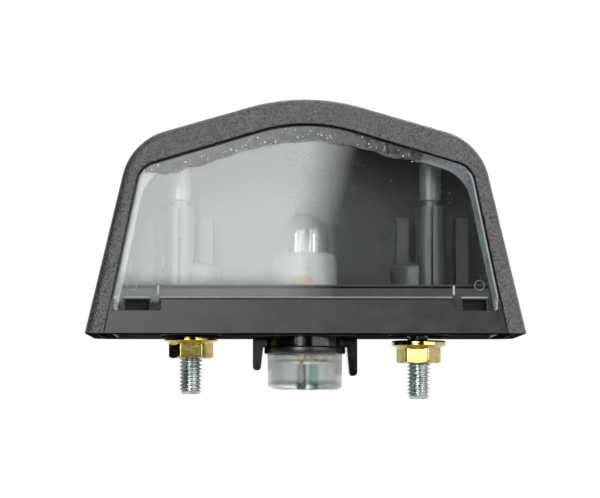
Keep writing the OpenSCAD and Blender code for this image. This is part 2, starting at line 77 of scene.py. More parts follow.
hood_low, hood_high = (np.array(corner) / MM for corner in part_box("hood"))
WIDTH = hood_high[0] - hood_low[0]
HEIGHT = hood_high[2]
FRONT_Y, BACK_Y = hood_low[1], hood_high[1]
POCKET_Y = FRONT_Y + LENS_RECESS + LENS_THICK
FRAME_Y = FRONT_Y + FRAME_DEPTH
OPENING_LEAN, OPENING_FALL = SIDE_LEAN - math.radians(1.5), ROOF_FALL + math.radians(0.5)
OPENING_HALF, OPENING_HIGH = WIDTH / 2 - FRAME_SIDE, HEIGHT - FRAME_TOP
STEP_HALF = OPENING_HALF - LEDGE_SIDE / math.cos(OPENING_LEAN)
# The step sits in the window's back as welded plastic does, the ledge leaves a hair of air behind it
WINDOW_BACK_Y, LEDGE_Y = POCKET_Y + 0.02, POCKET_Y + 0.07
FOOT_START = (OPENING_HALF - BAR_HEIGHT * math.tan(OPENING_LEAN)
              - FOOT_SIDE - 2 * PRONG_WIDTH - SLOT_WIDTH)
# Points of the opening's arch above this height belong to its roof
ROOF_FROM = 15.0
# The window's edge takes a painted glow up to this height
GLOW_TOP = 33.0
# The weld film: its ends, its depth under the arch, its thickness, and how far it and its bubbles stand out
FILM_LEFT, FILM_RIGHT, FILM_DEEP, FILM_THICK = -33.0, 24.0, 2.75, 0.025
FILM_PROUD, SPECK_PROUD = 0.03, 0.05
FILM_SPECKS, EDGE_DROPS, DUST_GRAINS = 110, 46, 70
# Rounds of the window's back edge, of the nuts' flange and of the bulb's foot
WINDOW_BACK_ROUND, FLANGE_ROUND, WEDGE_ROUND = 0.1, 0.25, 0.5
# A rolled thread's depth, half its crest and one flank, as shares of the pitch
THREAD_DEEP, HALF_CREST, THREAD_FLANK = 0.6, 0.12, 0.28


# Mesh helpers

def quads(rows, columns, wrap_rows=False, wrap_columns=False, start=0):
    """Faces of a grid of points: each joins a point with its right, upper right and upper neighbour."""
    r = np.arange(rows if wrap_rows else rows - 1)[:, None]
    c = np.arange(columns if wrap_columns else columns - 1)[None, :]
    right, up = (c + 1) % columns, (r + 1) % rows
    faces = np.stack([r * columns + c, r * columns + right, up * columns + right, up * columns + c], -1)
    return (faces.reshape(-1, 4) + start).tolist()


def crease_flat_ends(mesh):
    """Faces of more than four sides are flat ends, so every edge round them is sharp."""
    sides = np.empty(len(mesh.polygons), dtype=np.int32)
    edges = np.empty(len(mesh.loops), dtype=np.int32)
    mesh.polygons.foreach_get("loop_total", sides)
    mesh.loops.foreach_get("edge_index", edges)
    creased = np.zeros(len(mesh.edges), dtype=bool)
    mesh.edges.foreach_get("use_edge_sharp", creased)
    creased[edges[np.repeat(sides > 4, sides)]] = True
    mesh.edges.foreach_set("use_edge_sharp", creased)


def make_piece(name, points, faces, materials, stands_for=(), face_materials=None, sharp=32,
               hollow=None):
    """A closed mesh in millimetres becomes a piece in metres, merged, with its faces pointing outwards.

    The faces of the material whose number is hollow bound a cavity, so they point into it.
    """
    mesh = bpy.data.meshes.new(name)
    mesh.from_pydata(np.asarray(points).reshape(-1, 3) * MM, [], faces)
    if face_materials is not None:
        mesh.polygons.foreach_set("material_index", np.asarray(face_materials, dtype=np.int32))
    shape = bmesh.new()
    shape.from_mesh(mesh)
    bmesh.ops.remove_doubles(shape, verts=shape.verts, dist=1e-7)
    bmesh.ops.dissolve_degenerate(shape, dist=1e-7, edges=shape.edges)
    bmesh.ops.recalc_face_normals(shape, faces=shape.faces)
    if hollow is not None:
        bmesh.ops.reverse_faces(shape, faces=[f for f in shape.faces if f.material_index == hollow])
    shape.to_mesh(mesh)
    shape.free()
    mesh.polygons.foreach_set("use_smooth", np.ones(len(mesh.polygons), dtype=bool))
    mesh.set_sharp_from_angle(angle=math.radians(sharp))
    crease_flat_ends(mesh)
    for material in materials:
        mesh.materials.append(material)
    piece = bpy.data.objects.new(name, mesh)
    bpy.context.scene.collection.objects.link(piece)
    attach(piece, "root")
    for node in stands_for:
        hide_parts(node)


def lathe(profile, x=0.0, y=0.0, steps=96):
    """Points of a profile of radius and height turned about an upright axis by cosine and sine."""
    profile = np.asarray(profile, dtype=float)
    turn = np.linspace(0, 2 * math.pi, steps, endpoint=False)[None, :]
    radius, height = profile[:, :1], profile[:, 1:]
    return np.stack([x + radius * np.cos(turn), y + radius * np.sin(turn), height + 0 * turn], -1)


def arc(cx, cz, radius, start, end, steps):
    """Points on a circle about (cx, cz) from one angle to another, in degrees."""
    turn = np.radians(np.linspace(start, end, steps))
    return np.stack([cx + radius * np.cos(turn), cz + radius * np.sin(turn)], -1)


def tube(path, radius, sides=8):
    """Rings of a tube across its path, each starting square to the axis the path runs along least."""
    path = np.asarray(path, dtype=float)
    along = np.gradient(path, axis=0)
    along /= np.linalg.norm(along, axis=1, keepdims=True)
    helper = np.eye(3)[np.argmin(np.abs(along).max(axis=0))]
    across = np.cross(along, helper)
    across /= np.linalg.norm(across, axis=1, keepdims=True)
    other = np.cross(along, across)
    turn = np.linspace(0, 2 * math.pi, sides, endpoint=False)
    ring = (across[:, None, :] * np.cos(turn)[None, :, None]
            + other[:, None, :] * np.sin(turn)[None, :, None])
    return path[:, None, :] + radius * ring


def capped(rings, start=0):
    """Faces of a row of closed rings with both ends closed by one flat face."""
    rows, columns = rings.shape[:2]
    first = list(range(start, start + columns))
    last = list(range(start + (rows - 1) * columns, start + rows * columns))
    return quads(rows, columns, wrap_columns=True, start=start) + [first[::-1], last]


# The arch that the housing, its opening and the window share

def arch(half, lean, high, fall, rs, rp, inset=0.0, foot=0.0, steps=20):
    """Front view from the right foot over the peak to the left foot, as points of x and height.

    A straight side leans inwards, a circle of radius rs rounds the shoulder, a straight roof climbs to a
    circle of radius rp at the peak. inset moves the line inwards, which shortens both radii.
    """
    k = math.cos(lean + fall)
    p1 = half * math.cos(lean) - rs
    p2 = (high - rp) * math.cos(fall) + rp - rs
    cx = (p1 * math.cos(fall) - math.sin(lean) * p2) / k
    cz = (math.cos(lean) * p2 - math.sin(fall) * p1) / k
    foot_point = np.array([[half - inset / math.cos(lean) - foot * math.tan(lean), foot]])
    shoulder = arc(cx, cz, rs - inset, math.degrees(lean), 90 - math.degrees(fall), steps)
    peak = arc(0, high - rp, rp - inset, 90 - math.degrees(fall), 90, steps // 2)
    share = np.array([0.02, 0.3, 0.6, 0.95])[:, None]
    side = foot_point + share * (shoulder[:1] - foot_point)
    roof = shoulder[-1:] + np.array([0.05, 0.35, 0.65, 0.95])[:, None] * (peak[:1] - shoulder[-1:])
    right = np.concatenate([foot_point, side, shoulder, roof, peak])
    left = right[-2::-1] * np.array([-1.0, 1.0])
    return np.concatenate([right, left])


def shell_arch(inset=0.0, foot=0.0):
    """The housing's outline in front view, moved inwards by inset."""
    return arch(WIDTH / 2, SIDE_LEAN, HEIGHT, ROOF_FALL, SHOULDER_R, PEAK_R, inset, foot)


def opening_arch(inset=0.0, foot=0.0):
    """The edge of the opening in the housing's front, moved inwards by inset."""
    return arch(OPENING_HALF, OPENING_LEAN, OPENING_HIGH, OPENING_FALL, OPENING_R, OPENING_PEAK_R,
                inset, foot)


def ledge_arch():
    """The inner edge of the ledge that the window lies on."""
    return arch(STEP_HALF, OPENING_LEAN, OPENING_HIGH - LEDGE_TOP, OPENING_FALL, LEDGE_R, OPENING_PEAK_R)


def at_depth(line, y):
    """A front view line placed at one depth."""
    return np.stack([line[:, 0], np.full(len(line), y), line[:, 1]], -1)


# Materials

def srgb(code):
    """A colour code in sRGB as linear red, green, blue and full alpha."""
    parts = [int(code[i:i + 2], 16) / 255 for i in (1, 3, 5)]
    linear = [p / 12.92 if p <= 0.04045 else ((p + 0.055) / 1.055) ** 2.4 for p in parts]
    return (*linear, 1.0)


def add(tree, kind, inputs=None, **settings):
    """A node with its settings. An input is a value, a socket, or a node whose first output is linked."""
    made = tree.nodes.new(kind)
    for name, value in settings.items():
        setattr(made, name, value)
    for name, value in (inputs or {}).items():
        if isinstance(value, bpy.types.Node):
            value = value.outputs[0]
        if isinstance(value, bpy.types.NodeSocket):
            tree.links.new(value, made.inputs[name])
        else:
            made.inputs[name].default_value = value
    return made


def new_material(name):
    """An empty material, its node tree and the piece's own coordinates in it."""
    material = bpy.data.materials.new(name)
    material.use_nodes = True
    material.node_tree.nodes.clear()
    tree = material.node_tree
    place = add(tree, "ShaderNodeTexCoord").outputs["Object"]
    return material, tree, place


def per_mm(size):
    """Texture scale at which one cell is this many millimetres, on coordinates in metres."""
    return 1.0 / (size * MM)


def cover(tree, color, fine, depth, rough_low, rough_high, inputs):
    """Ends a material with a skin whose roughness and bump, in millimetres, both follow one fine noise."""
    rough = add(tree, "ShaderNodeMapRange", {
        "Value": fine, "From Min": 0.3, "From Max": 0.7, "To Min": rough_low, "To Max": rough_high})
    bump = add(tree, "ShaderNodeBump", {"Height": fine, "Strength": 1.0, "Distance": depth * MM})
    shader = add(tree, "ShaderNodeBsdfPrincipled", {
        "Base Color": color, "Roughness": rough, "Normal": bump, **inputs})
    add(tree, "ShaderNodeOutputMaterial", {"Surface": shader})


def black_plastic(name, dark, light, grain, grain_depth, rough_low, rough_high, speckle=0.0):
    """Moulded polypropylene: a cloudy near black, with the mould's grain as bump and in the roughness.

    speckle is the share of the grain in the cloud, so that each raised dot is a little paler.
    """
    material, tree, place = new_material(name)
    cloud = add(tree, "ShaderNodeTexNoise", {"Vector": place, "Scale": per_mm(9.0), "Detail": 3.0})
    fine = add(tree, "ShaderNodeTexNoise", {
        "Vector": place, "Scale": per_mm(grain), "Detail": 2.0, "Roughness": 0.6})
    if speckle:
        rest = add(tree, "ShaderNodeMath", {0: cloud, 1: 1.0 - speckle}, operation="MULTIPLY")
        cloud = add(tree, "ShaderNodeMath", {0: fine, 1: speckle, 2: rest}, operation="MULTIPLY_ADD")
    share = add(tree, "ShaderNodeMapRange", {"Value": cloud, "From Min": 0.4, "From Max": 0.6})
    color = add(tree, "ShaderNodeMix", {0: share, 6: srgb(dark), 7: srgb(light)}, data_type="RGBA")
    cover(tree, color.outputs[2], fine, grain_depth, rough_low, rough_high, {"IOR": 1.49})
    return material


def base_plastic():
    """The inner moulding: satin, and glossier below the mounting face, where a painted shade also makes it
    darker. A painted light makes it paler inside the lamp.

    A painted shade, a matte coat without a sheen, lies in the slots behind the window's feet and on faces
    that look down.
    """
    material, tree, place = new_material("satin_polypropylene")
    parts = add(tree, "ShaderNodeSeparateXYZ", {"Vector": place}).outputs
    notch_z = BAR_HEIGHT - NOTCH_HEIGHT
    shares = []
    # Shares that change along an axis between two places in millimetres, from 1 to 0 or from 0 to 1
    for axis, low, high, start in (
        # Below the mounting face: painted shade, and more gloss
        ("Z", -0.4, 0.0, 1.0),
        # The slots behind the window's feet, for their painted shade: above the notch's floor, below the
        # bar's top and behind the front
        ("Z", notch_z - 0.2, notch_z, 0.0),
        ("Z", BAR_HEIGHT - 0.1, BAR_HEIGHT + 0.1, 1.0),
        ("Y", FRONT_Y + 0.1, FRONT_Y + 0.6, 0.0),
        # Inside the lamp: painted light
        ("Y", POCKET_Y + 1.0, POCKET_Y + 1.6, 0.0),
    ):
        shares.append(add(tree, "ShaderNodeMapRange", {
            "Value": parts[axis], "From Min": low * MM, "From Max": high * MM,
            "To Min": start, "To Max": 1.0 - start}))
    under, above_notch, below_top, deep, painted_light_indoors = shares
    # The slots' painted shade: a matte coat in the recess
    slot_shade = add(tree, "ShaderNodeMath", {0: above_notch, 1: below_top}, operation="MULTIPLY")
    slot_shade = add(tree, "ShaderNodeMath", {0: slot_shade, 1: deep}, operation="MULTIPLY")
    # Faces that look down take a black painted shade without a sheen
    normal = add(tree, "ShaderNodeNewGeometry").outputs["True Normal"]
    facing = add(tree, "ShaderNodeSeparateXYZ", {"Vector": normal}).outputs["Z"]
    down = add(tree, "ShaderNodeMapRange", {
        "Value": facing, "From Min": -0.95, "From Max": -0.8, "To Min": 1.0, "To Max": 0.0})
    # dull is where the painted shade's matte coat covers the satin
    dull = add(tree, "ShaderNodeMath", {0: down, 1: slot_shade}, operation="MAXIMUM")
    # Painted shade also lies in two dark lines along the lamp, where the window meets the base: under the
    # step's top and at the bar's top
    for height, half, share in ((STEP_HEIGHT - 0.55, 0.22, 1.0), (BAR_HEIGHT - 0.1, 0.12, 0.55)):
        seam_shade = add(tree, "ShaderNodeMath", {0: parts["Z"], 1: height * MM, 2: half * MM},
                   operation="COMPARE")
        seam_shade = add(tree, "ShaderNodeMath", {0: seam_shade, 1: share}, operation="MULTIPLY")
        dull = add(tree, "ShaderNodeMath", {0: dull, 1: seam_shade}, operation="MAXIMUM")
    worn = add(tree, "ShaderNodeTexNoise", {
        "Vector": place, "Scale": per_mm(4.5), "Detail": 5.0, "Roughness": 0.65})
    wear = add(tree, "ShaderNodeMapRange", {"Value": worn, "From Min": 0.35, "From Max": 0.65})
    color = srgb("#131314")
    # Random wear, then painted light inside the lamp and painted shade below the mounting face
    for share, code in ((wear, "#222223"), (painted_light_indoors, "#424243"), (under, "#0e0e0f")):
        color = add(tree, "ShaderNodeMix", {0: share, 6: color, 7: srgb(code)}, data_type="RGBA").outputs[2]
    rough = add(tree, "ShaderNodeMapRange", {"Value": wear, "To Min": 0.29, "To Max": 0.39})
    rough = add(tree, "ShaderNodeMath", {0: under, 1: -0.2, 2: rough}, operation="MULTIPLY_ADD")
    fine = add(tree, "ShaderNodeTexNoise", {"Vector": place, "Scale": per_mm(0.9), "Detail": 2.0})
    bump = add(tree, "ShaderNodeBump", {"Height": fine, "Strength": 1.0, "Distance": 0.003 * MM})
    shader = add(tree, "ShaderNodeBsdfPrincipled", {
        "Base Color": color, "Roughness": rough, "IOR": 1.46, "Normal": bump})
    # dust is the painted shade's colour: flat grey in the slots, dark on the lines and on faces that look
    # down
    dust = add(tree, "ShaderNodeMix", {0: slot_shade, 6: srgb("#121213"), 7: srgb("#3a3a3b")}, data_type="RGBA")
    shade_matte = add(tree, "ShaderNodeBsdfDiffuse", {"Color": dust.outputs[2]})
    both = add(tree, "ShaderNodeMixShader", {0: dull, 1: shader, 2: shade_matte})
    add(tree, "ShaderNodeOutputMaterial", {"Surface": both})
    return material


def painted_shade_plastic():
    """Polypropylene without a sheen, black and rough, as painted shade: the housing's foot and the slit
    round the window.
    """
    material, tree, place = new_material("painted_shade_polypropylene")
    cloud = add(tree, "ShaderNodeTexNoise", {"Vector": place, "Scale": per_mm(1.2), "Detail": 3.0})
    color = add(tree, "ShaderNodeMix", {0: cloud, 6: srgb("#141415"), 7: srgb("#29292a")}, data_type="RGBA")
    shader = add(tree, "ShaderNodeBsdfDiffuse", {"Color": color.outputs[2], "Roughness": 0.6})
    add(tree, "ShaderNodeOutputMaterial", {"Surface": shader})
    return material


def clear_body(name, tint, wave, detail, rise, haze, ior, shade):
    """A clear body that is hazy where its noise is high, and lets the lamps through to what is behind it.

    rise is the range of the noise over which the haze comes up, and shade tints the light let through.
    """
    material, tree, place = new_material(name)
    cloud = add(tree, "ShaderNodeTexNoise", {"Vector": place, "Scale": per_mm(wave), "Detail": detail})
    rough = add(tree, "ShaderNodeMapRange", {
        "Value": cloud, "From Min": rise[0], "From Max": rise[1], "To Min": 0.0, "To Max": haze})
    body = add(tree, "ShaderNodeBsdfPrincipled", {
        "Base Color": srgb(tint), "Roughness": rough, "IOR": ior, "Transmission Weight": 1.0})
    open_way = add(tree, "ShaderNodeBsdfTransparent", {"Color": srgb(shade)})
    shadow = add(tree, "ShaderNodeLightPath").outputs["Is Shadow Ray"]
    both = add(tree, "ShaderNodeMixShader", {0: shadow, 1: body, 2: open_way})
    add(tree, "ShaderNodeOutputMaterial", {"Surface": both})
    return material


def weld_skin():
    """Polycarbonate that melted and set again: grey green, cloudy, and glossy in soft waves."""
    material, tree, place = new_material("welded_polycarbonate")
    cloud = add(tree, "ShaderNodeTexNoise", {
        "Vector": place, "Scale": per_mm(2.2), "Detail": 4.0, "Roughness": 0.6})
    share = add(tree, "ShaderNodeMapRange", {"Value": cloud, "From Min": 0.35, "From Max": 0.65})
    color = add(tree, "ShaderNodeMix", {0: share, 6: srgb("#1d1f1a"), 7: srgb("#41453e")}, data_type="RGBA")
    fine = add(tree, "ShaderNodeTexNoise", {"Vector": place, "Scale": per_mm(1.1), "Detail": 2.0})
    cover(tree, color.outputs[2], fine, 0.01, 0.1, 0.24, {"IOR": 1.58})
    return material


def milky_plastic():
    """Natural polyethylene: hazy and waxy, clear enough for the leads in it to show softened.

    The end of the cup is greyer, and the collar round the bulb scatters a little more light.
    """
    material, tree, place = new_material("natural_polyethylene")
    cloud = add(tree, "ShaderNodeTexNoise", {"Vector": place, "Scale": per_mm(2.5), "Detail": 3.0})
    height = add(tree, "ShaderNodeSeparateXYZ", {"Vector": place}).outputs["Z"]
    cup_end = add(tree, "ShaderNodeMapRange", {
        "Value": height, "From Min": -10.2 * MM, "From Max": -9.0 * MM, "To Min": 1.0, "To Max": 0.0})
    color = srgb("#dadddb")
    for share, code in ((cloud, "#c6cbc8"), (cup_end, "#7d8583")):
        color = add(tree, "ShaderNodeMix", {0: share, 6: color, 7: srgb(code)}, data_type="RGBA").outputs[2]
    fine = add(tree, "ShaderNodeTexNoise", {"Vector": place, "Scale": per_mm(0.9), "Detail": 2.0})
    skin = add(tree, "ShaderNodeBump", {"Height": fine, "Strength": 0.5, "Distance": 0.03 * MM})
    rough = add(tree, "ShaderNodeMapRange", {
        "Value": cloud, "From Min": 0.3, "From Max": 0.7, "To Min": 0.1, "To Max": 0.22})
    body = add(tree, "ShaderNodeBsdfPrincipled", {
        "Base Color": color, "Roughness": rough, "IOR": 1.45, "Normal": skin, "Transmission Weight": 0.86})
    open_way = add(tree, "ShaderNodeBsdfTransparent", {"Color": srgb("#eff1ef")})
    shadow = add(tree, "ShaderNodeLightPath").outputs["Is Shadow Ray"]
    share = add(tree, "ShaderNodeMapRange", {"Value": shadow, "To Min": 0.4, "To Max": 0.9})
    both = add(tree, "ShaderNodeMixShader", {0: share, 1: body, 2: open_way})
    collar = add(tree, "ShaderNodeMapRange", {
        "Value": height, "From Min": 1.0 * MM, "From Max": 3.0 * MM, "To Min": 0.0, "To Max": 0.07})
    waxy = add(tree, "ShaderNodeBsdfDiffuse", {"Color": srgb("#e6eae8")})
    both = add(tree, "ShaderNodeMixShader", {0: collar, 1: both, 2: waxy})
    add(tree, "ShaderNodeOutputMaterial", {"Surface": both})
    return material


def bright_metal(name, colors, rough_low, rough_high, spot, marks, mark_depth):
    """Bare or plated metal: two tones in soft patches, roughness that varies, fine marks as bump.

    Each colour after the first two comes in wider patches of its own.
    """
    material, tree, place = new_material(name)
    patch = add(tree, "ShaderNodeTexNoise", {"Vector": place, "Scale": per_mm(spot), "Detail": 3.0})
    share = add(tree, "ShaderNodeMapRange", {"Value": patch, "From Min": 0.35, "From Max": 0.65})
    color = add(tree, "ShaderNodeMix", {0: share, 6: srgb(colors[0]), 7: srgb(colors[1])},
                data_type="RGBA").outputs[2]
    for number, code in enumerate(colors[2:]):
        other = add(tree, "ShaderNodeTexNoise", {
            "Vector": place, "Scale": per_mm(spot * (1.7 + 0.9 * number)), "Detail": 1.0})
        share = add(tree, "ShaderNodeMapRange", {
            "Value": other, "From Min": 0.52, "From Max": 0.66, "To Min": 0.0, "To Max": 0.8})
        color = add(tree, "ShaderNodeMix", {0: share, 6: color, 7: srgb(code)}, data_type="RGBA").outputs[2]
    fine = add(tree, "ShaderNodeTexNoise", {
        "Vector": place, "Scale": per_mm(marks), "Detail": 3.0, "Roughness": 0.6})
    cover(tree, color, fine, mark_depth, rough_low, rough_high, {"Metallic": 1.0})
    return material


def soft_plastic(name, dark, light, rough, grain):
    """Extruded or pressed soft plastic and rubber: even colour with a faint cloud and a dull skin."""
    material, tree, place = new_material(name)
    cloud = add(tree, "ShaderNodeTexNoise", {"Vector": place, "Scale": per_mm(1.5), "Detail": 2.0})
    color = add(tree, "ShaderNodeMix", {0: cloud, 6: srgb(dark), 7: srgb(light)}, data_type="RGBA")
    fine = add(tree, "ShaderNodeTexNoise", {"Vector": place, "Scale": per_mm(grain), "Detail": 2.0})
    cover(tree, color.outputs[2], fine, 0.01, rough - 0.06, rough + 0.06, {"IOR": 1.5})
    return material


# Spark eroded mould grain gives the housing its dull speckled sheen. The grain of about a third of a
# millimetre is drawn at 0.45 mm, as coarse as it needs to be to show.
grained = black_plastic("grained_polypropylene", "#343436", "#575759", 0.45, 0.3, 0.24, 0.38, speckle=0.85)
# A ground mould leaves the inner moulding smoother, so it takes a soft broad reflection
satin = base_plastic()
# The foot's face and the slit round the window take a painted shade, black without a sheen, so they read as
# black lines
painted_shade_edge = painted_shade_plastic()
# The cavity behind the window is smooth, with a weak sheen; its colour is darker than the housing's
# outside, a painted shade
inside = black_plastic("smooth_polypropylene", "#1c1c1d", "#282829", 0.6, 0.01, 0.26, 0.4)
# The two pegs came out of smooth round bores, so they are glossier than the cavity round them, and they are
# painted much paler than black as a painted highlight
peg_painted_light = black_plastic("peg_polypropylene", "#606163", "#6e6f71", 0.6, 0.006, 0.2, 0.3)
# The window's seat is turned towards the light and painted paler than the black plastic, a painted light
smooth = black_plastic("seat_polypropylene_painted_light", "#55585b", "#65696c", 0.5, 0.012, 0.24, 0.36)
# Where the window was welded along its top, its face melted: a grey green stretch, glossy and uneven
welded = weld_skin()
# Resin that bubbled along the weld shows as pale specks
speck = soft_plastic("foamed_polycarbonate", "#a9b2b0", "#dde3e0", 0.3, 0.2)
# A bubble that broke through the window's face has a bright skin that mirrors the light
bubble = bright_metal("bubble_skin_polycarbonate", ("#e6eceb", "#cfd6d5"), 0.3, 0.4, 0.5, 0.1, 0.002)
# The window's rounded front edge is painted pale, a painted glow for the light that runs inside the plate
painted_glow = soft_plastic("painted_glow_polycarbonate", "#8e9699", "#bfc6c9", 0.3, 0.3)
# At the window's feet the edge gathers that light into a short pale line
edge_light = soft_plastic("edge_lit_polycarbonate", "#9aa1a3", "#c2c8c9", 0.3, 0.4)
# Injection moulded polycarbonate: glossy and clear, with a faint haze in soft patches
window_plastic = clear_body("clear_polycarbonate", "#f4f7f6", 3.0, 4.0, (0.45, 0.75), 0.06, 1.58, "#f7f8f8")
# Drawn glass of a small bulb: clear and very smooth
glass = clear_body("soda_glass", "#fafcfb", 4.0, 1.0, (0.3, 0.7), 0.03, 1.5, "#f9fafa")
# Uncoloured polyethylene lets light in and scatters it, so that the holder looks like wax
milky = milky_plastic()
# Blue bright zinc over rolled thread: pale, a little cloudy
zinc = bright_metal("bright_zinc", ("#c1c8c6", "#959e9b"), 0.22, 0.34, 1.2, 0.25, 0.004)
# Yellow chromate over zinc: gold with green and rose patches
CHROMATE = ("#cdbb6c", "#a8954b", "#8f9a5e", "#bfa576")
yellow_zinc = bright_metal("yellow_chromate", CHROMATE, 0.07, 0.15, 1.6, 0.2, 0.006)
# Drawn tungsten is grey and dull, so the coil stays faint in the glass
tungsten = bright_metal("tungsten_wire", ("#8d8d90", "#6f7073"), 0.35, 0.5, 0.6, 0.1, 0.002)
# Nickel wire is warm white and takes a narrow highlight along its length
nickel = bright_metal("nickel_wire", ("#cfcac0", "#b7b1a6"), 0.2, 0.34, 1.0, 0.2, 0.004)
# Rolled brass strip shows as a warm spot through the milky holder
brass = bright_metal("brass_strip", ("#d9a860", "#c48c46"), 0.24, 0.38, 1.5, 0.3, 0.006)
# Bare drawn copper is redder than the brass beside it
copper = bright_metal("bare_copper", ("#c9764a", "#b8653b"), 0.25, 0.4, 0.8, 0.2, 0.004)
# Pressed nitrile rubber is near black, with a soft sheen on its rounded edges
rubber = soft_plastic("nitrile_rubber", "#161617", "#202021", 0.3, 0.3)
# Extruded vinyl is even and slightly shiny, and its colour shows through the cup
grey_cover = soft_plastic("grey_vinyl", "#3f4248", "#50545b", 0.4, 0.4)
green_cover = soft_plastic("green_vinyl", "#0a9b97", "#16aea6", 0.4, 0.4)


# Housing

def build_hood():
    """Rows of the arch from the cavity's back, round the frame and over the outside to the back wall.

    Each row is the arch at one depth and one inset: quarter circles round the front and back edges, and a
    small quarter circle round the opening's edge. Row to row, the same point of each arch is joined.
    """
    lip = FRAME_BEVEL
    turn = np.linspace(0, math.pi / 2, 12)
    # A narrow row beside a sharp corner keeps the shading of the wide one flat
    guard = 0.3
    rows, kinds = [], []
    # The edge's faces, the slit round the window and the foot's face, take a painted shade
    outside, cavity, seat, edge = range(4)

    def row(line, y, kind):
        """One more row, and the kind of the faces between it and the next."""
        rows.append(at_depth(line, y))
        kinds.append(kind)

    row(shell_arch(WALL), BACK_Y - WALL, cavity)
    row(shell_arch(WALL), FRAME_Y + guard, cavity)
    row(shell_arch(WALL), FRAME_Y, cavity)
    # The seat's faces take a painted light
    row(ledge_arch(), FRAME_Y, seat)
    row(ledge_arch(), LEDGE_Y, seat)
    row(opening_arch(), LEDGE_Y, edge)
    for t in turn:
        row(opening_arch(-lip * (1 - math.cos(t))), FRONT_Y + lip * (1 - math.sin(t)), outside)
    inner, outer = opening_arch(-lip), shell_arch(FRONT_ROUND)
    for share in (0.04, 0.5, 0.96):
        row(inner + share * (outer - inner), FRONT_Y, outside)
    for t in turn:
        inset = FRONT_ROUND * (1 - math.sin(t))
        row(shell_arch(inset), FRONT_Y + FRONT_ROUND * (1 - math.cos(t)), outside)
    start, end = FRONT_Y + FRONT_ROUND, BACK_Y - BACK_ROUND
    for share in (0.03, 0.5, 0.97):
        row(shell_arch(), start + share * (end - start), outside)
    for t in turn:
        row(shell_arch(BACK_ROUND * (1 - math.cos(t))), BACK_Y - BACK_ROUND * (1 - math.sin(t)), outside)
    row(shell_arch(BACK_ROUND + guard), BACK_Y, outside)

    points = np.stack(rows)
    count, across = points.shape[:2]
    faces = quads(count, across)
    face_kinds = np.repeat(kinds[:-1], across - 1).tolist()
    inner_back = list(range(across))
    outer_back = list(range((count - 1) * across, count * across))
    right_feet = [r * across for r in range(count)]
    left_feet = [r * across + across - 1 for r in range(count)]
    faces += [inner_back, outer_back[::-1], right_feet + left_feet[::-1]]
    face_kinds += [cavity, outside, edge]
    make_piece("hood_shell", points, faces, [grained, inside, smooth, painted_shade_edge], ["hood"],
               face_kinds)


def build_pegs():
    """Two stepped pegs: a profile of radius and height turned about each post's axis, up into the roof."""
    line = (HEIGHT - PEAK_R) * math.cos(ROOF_FALL) + PEAK_R - WALL
    top = (line - (POST_X - PEG_D / 2) * math.sin(ROOF_FALL)) / math.cos(ROOF_FALL) + 0.2
    profile = [[0, PIN_LOW], [PIN_D / 2 - 0.3, PIN_LOW], [PIN_D / 2, PIN_LOW + 0.3], [PIN_D / 2, PEG_LOW],
               [PEG_D / 2 - 0.25, PEG_LOW], [PEG_D / 2, PEG_LOW + 0.25], [PEG_D / 2, top], [0, top]]
    for name, side in (("left", -1), ("right", 1)):
        rings = lathe(profile, side * POST_X, POST_Y, 64)
        make_piece("hood_peg_" + name, rings, quads(*rings.shape[:2], wrap_columns=True), [peg_painted_light],
                   ["hood"])


# Window

def inset_outline(outline, inset):
    """A closed outline moved inwards: each corner goes along its mitre by the inset over the half angle."""
    before, after = np.roll(outline, 1, 0), np.roll(outline, -1, 0)
    first, second = outline - before, after - outline
    first /= np.linalg.norm(first, axis=1, keepdims=True)
    second /= np.linalg.norm(second, axis=1, keepdims=True)
    normal_1 = np.stack([-first[:, 1], first[:, 0]], -1)
    normal_2 = np.stack([-second[:, 1], second[:, 0]], -1)
    mitre = normal_1 + normal_2
    mitre /= np.sum(mitre * mitre, axis=1, keepdims=True) / 2
    return outline + inset * mitre


def window_outline():
    """The opening's arch less its gap, closed along the bar with two pronged feet on each side."""
    foot_z = BAR_HEIGHT + FOOT_GAP
    low_z = BAR_HEIGHT - NOTCH_HEIGHT
    edge = opening_arch(LENS_GAP, foot_z)
    stops = []
    for k in (0, 1):
        start = FOOT_START + k * (PRONG_WIDTH + SLOT_WIDTH)
        end = start + PRONG_WIDTH
        stops += [(start, foot_z), (start, low_z), (end, low_z), (end, foot_z)]
    right = np.array(stops[:-1])
    left = right[::-1] * np.array([-1.0, 1.0])
    return np.concatenate([edge[1:-1], left, right])


def build_window():
    """A plate of the outline with quarter circles round both edges, row by row from front to back.

    The front edge's round is painted pale, a painted glow where light caught in the plate comes out.
    """
    lip, back_lip = LENS_BEVEL, WINDOW_BACK_ROUND
    outline = window_outline()
    front = FRONT_Y + LENS_RECESS
    turn = np.linspace(0, math.pi / 2, 7)
    rows = [at_depth(inset_outline(outline, lip * (1 - math.sin(t))), front + lip * (1 - math.cos(t)))
            for t in turn]
    rows += [at_depth(inset_outline(outline, back_lip * (1 - math.sin(t))),
                      WINDOW_BACK_Y - back_lip * (1 - math.cos(t))) for t in turn[::-1]]
    rings = np.stack(rows)
    faces = capped(rings)
    kinds = np.zeros(len(faces), dtype=int)
    middle = (outline[:, 1] + np.roll(outline[:, 1], -1)) / 2
    lit = (middle > BAR_HEIGHT) & (middle < GLOW_TOP)
    kinds[:len(outline) * (len(turn) - 1)] = np.tile(lit, len(turn) - 1)
    make_piece("window_plate", rings, faces, [window_plastic, painted_glow], ["lens"], kinds)


def front_ring(x, z, y, radius, thick, steps=40, sides=8):
    """A fine ring in the plane of the window: a circle of the tube's radius carried round a circle."""
    turn = np.linspace(0, 2 * math.pi, steps, endpoint=False)[:, None]
    around = np.linspace(0, 2 * math.pi, sides, endpoint=False)[None, :]
    out = radius + thick * np.cos(around)
    depth = y + thick * np.sin(around) + 0 * turn
    return np.stack([x + out * np.cos(turn), depth, z + out * np.sin(turn)], -1)


